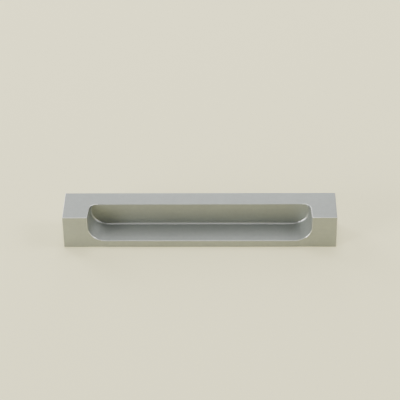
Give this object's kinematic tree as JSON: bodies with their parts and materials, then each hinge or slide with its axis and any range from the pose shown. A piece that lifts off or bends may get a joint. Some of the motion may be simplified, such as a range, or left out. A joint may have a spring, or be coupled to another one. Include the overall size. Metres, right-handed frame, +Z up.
{
  "type": "flush pull",
  "caption": "Rectangular one-piece aluminium flush pull with a long finger recess open to its top and front, screwed on from behind.",
  "frame": {"origin": "centre of the underside, which is the mounting face", "axes": "+X along the bar, +Y from the front face with the recess's mouth to the back, +Z up from the mounting face to the visible face"},
  "size_m": [0.176, 0.0274, 0.0235],
  "materials": {
    "satin_aluminium": "bead-blasted, clear anodised satin aluminium"
  },
  "bodies": {
    "root": {"pull_bar": "satin_aluminium"}
  },
  "joints": []
}
